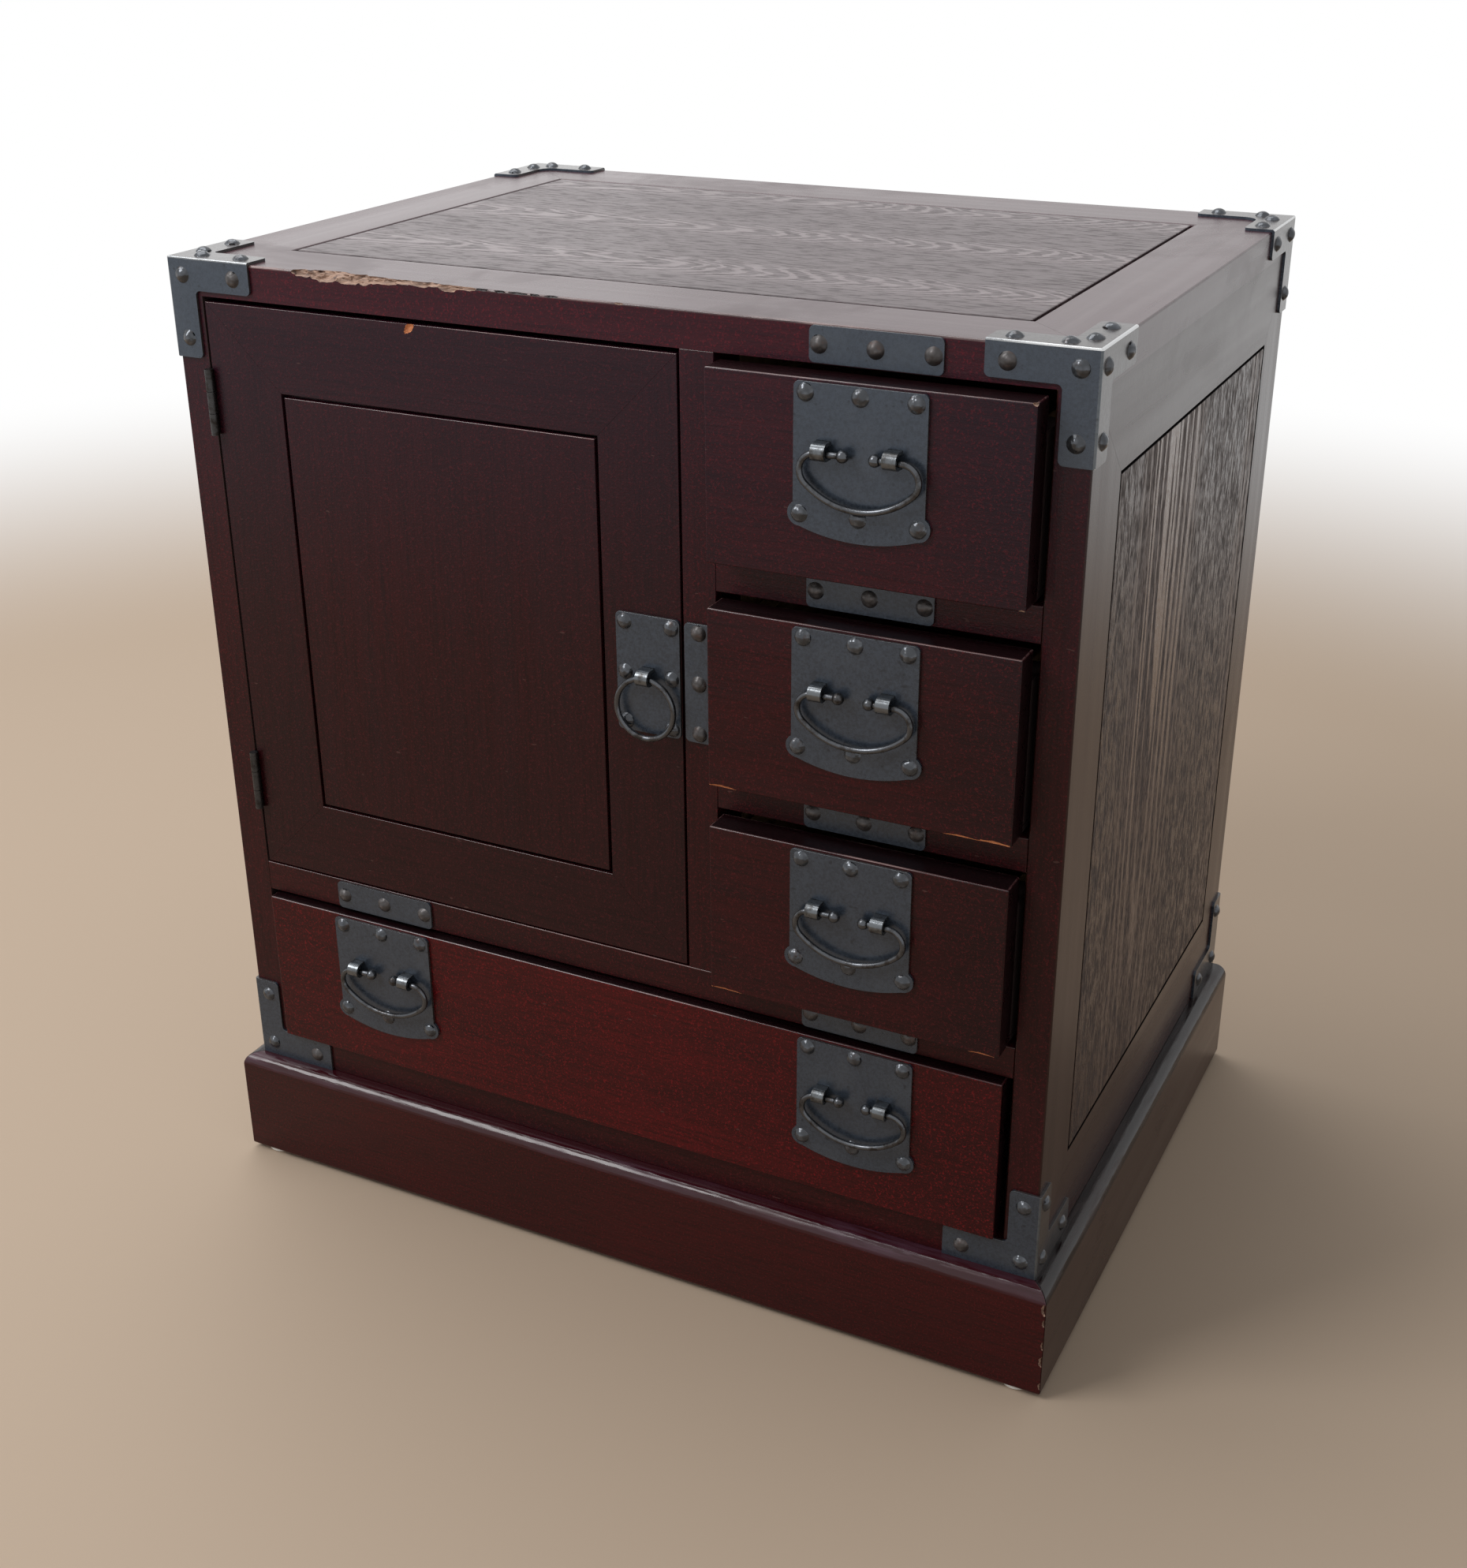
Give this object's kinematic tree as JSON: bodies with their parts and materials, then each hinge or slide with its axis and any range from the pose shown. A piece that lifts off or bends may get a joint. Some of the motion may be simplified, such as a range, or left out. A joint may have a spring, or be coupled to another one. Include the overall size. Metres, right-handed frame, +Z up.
{
  "type": "small tansu chest",
  "caption": "Tabletop chest in lacquered wood with a framed cupboard door, short drawers beside it, a long drawer below, iron corner brackets, plated bail pulls and a moulded plinth.",
  "frame": {"origin": "on the floor, under the centre of the whole chest's bounding box, pulls and back nails included", "axes": "+Z up, +X to the viewer's right as one faces the front, -Y out of the front"},
  "size_m": [0.574, 0.4324, 0.6142],
  "materials": {
    "lacquer": "satin red-brown lacquer over wood grain",
    "lacquer_panel": "satin red-brown lacquer over open grain",
    "bare_wood": "bare light wood",
    "nylon": "matte off-white",
    "iron": "dark blue-grey, slightly mottled satin",
    "nails": "dark domed heads, worn bright on top",
    "worn_steel": "worn bright steel wire",
    "hinge_steel": "darkened steel"
  },
  "bodies": {
    "carcass": {"top_frame": "lacquer", "top_panel": "lacquer_panel", "left_side_frame": "lacquer", "left_side_panel": "lacquer_panel", "right_side_frame": "lacquer", "right_side_panel": "lacquer_panel", "mid_stile": "lacquer", "short_drawer_rails": "lacquer", "long_drawer_rail": "lacquer", "bottom_rail": "lacquer", "bottom_board": "bare_wood", "dust_board": "bare_wood", "partition": "bare_wood", "back_panel": "bare_wood", "drawer_runners": "bare_wood", "drawer_stops": "bare_wood", "plinth_front": "lacquer", "plinth_sides": "lacquer", "plinth_back": "lacquer", "floor_glides": "nylon", "top_front_brackets": "iron", "top_back_brackets": "iron", "bottom_front_brackets": "iron", "bottom_back_brackets": "iron", "case_nails": "nails", "rail_plates": "iron", "mid_stile_plate": "iron", "hinge_frame_leaves": "hinge_steel", "hinge_pins": "hinge_steel", "door_catch": "nylon"},
    "door": {"door_frame": "lacquer", "door_panel": "lacquer_panel", "ring_plate": "iron", "ring_staple": "nails", "ring_plate_nails": "nails", "hinge_door_leaves": "hinge_steel", "catch_keeper": "hinge_steel"},
    "ring": {"door_ring": "worn_steel"},
    "upper_drawer": {"upper_drawer_front": "lacquer", "upper_drawer_box": "bare_wood", "upper_pull_plate": "iron", "upper_pull_fixings": "nails"},
    "upper_bail": {"upper_bail": "worn_steel"},
    "middle_drawer": {"middle_drawer_front": "lacquer", "middle_drawer_box": "bare_wood", "middle_pull_plate": "iron", "middle_pull_fixings": "nails"},
    "middle_bail": {"middle_bail": "worn_steel"},
    "lower_drawer": {"lower_drawer_front": "lacquer", "lower_drawer_box": "bare_wood", "lower_pull_plate": "iron", "lower_pull_fixings": "nails"},
    "lower_bail": {"lower_bail": "worn_steel"},
    "long_drawer": {"long_drawer_front": "lacquer", "long_drawer_box": "bare_wood", "long_pull_plates": "iron", "long_pull_fixings": "nails"},
    "long_left_bail": {"long_left_bail": "worn_steel"},
    "long_right_bail": {"long_right_bail": "worn_steel"}
  },
  "joints": [
    {"name": "door_hinge", "type": "hinge", "parent": "carcass", "child": "door", "pos_m": [-0.2543, -0.19065, 0.40715], "axis": [0, 0, -1], "range_deg": [0, 165]},
    {"name": "ring_swing", "type": "hinge", "parent": "door", "child": "ring", "pos_m": [0.0325, -0.1946, 0.4066], "axis": [-1, 0, 0], "range_deg": [0, 165]},
    {"name": "upper_drawer_slide", "type": "slide", "parent": "carcass", "child": "upper_drawer", "axis": [0, -1, 0], "range_m": [0, 0.3]},
    {"name": "upper_bail_swing", "type": "hinge", "parent": "upper_drawer", "child": "upper_bail", "pos_m": [0.1632, -0.2116, 0.5517], "axis": [-1, 0, 0], "range_deg": [0, 165]},
    {"name": "middle_drawer_slide", "type": "slide", "parent": "carcass", "child": "middle_drawer", "axis": [0, -1, 0], "range_m": [0, 0.3]},
    {"name": "middle_bail_swing", "type": "hinge", "parent": "middle_drawer", "child": "middle_bail", "pos_m": [0.1632, -0.2116, 0.4237], "axis": [-1, 0, 0], "range_deg": [0, 165]},
    {"name": "lower_drawer_slide", "type": "slide", "parent": "carcass", "child": "lower_drawer", "axis": [0, -1, 0], "range_m": [0, 0.3]},
    {"name": "lower_bail_swing", "type": "hinge", "parent": "lower_drawer", "child": "lower_bail", "pos_m": [0.1632, -0.2116, 0.2957], "axis": [-1, 0, 0], "range_deg": [0, 165]},
    {"name": "long_drawer_slide", "type": "slide", "parent": "carcass", "child": "long_drawer", "axis": [0, -1, 0], "range_m": [0, 0.3]},
    {"name": "long_left_bail_swing", "type": "hinge", "parent": "long_drawer", "child": "long_left_bail", "pos_m": [-0.1632, -0.2, 0.1687], "axis": [-1, 0, 0], "range_deg": [0, 165]},
    {"name": "long_right_bail_swing", "type": "hinge", "parent": "long_drawer", "child": "long_right_bail", "pos_m": [0.1632, -0.2, 0.1687], "axis": [-1, 0, 0], "range_deg": [0, 165]}
  ]
}
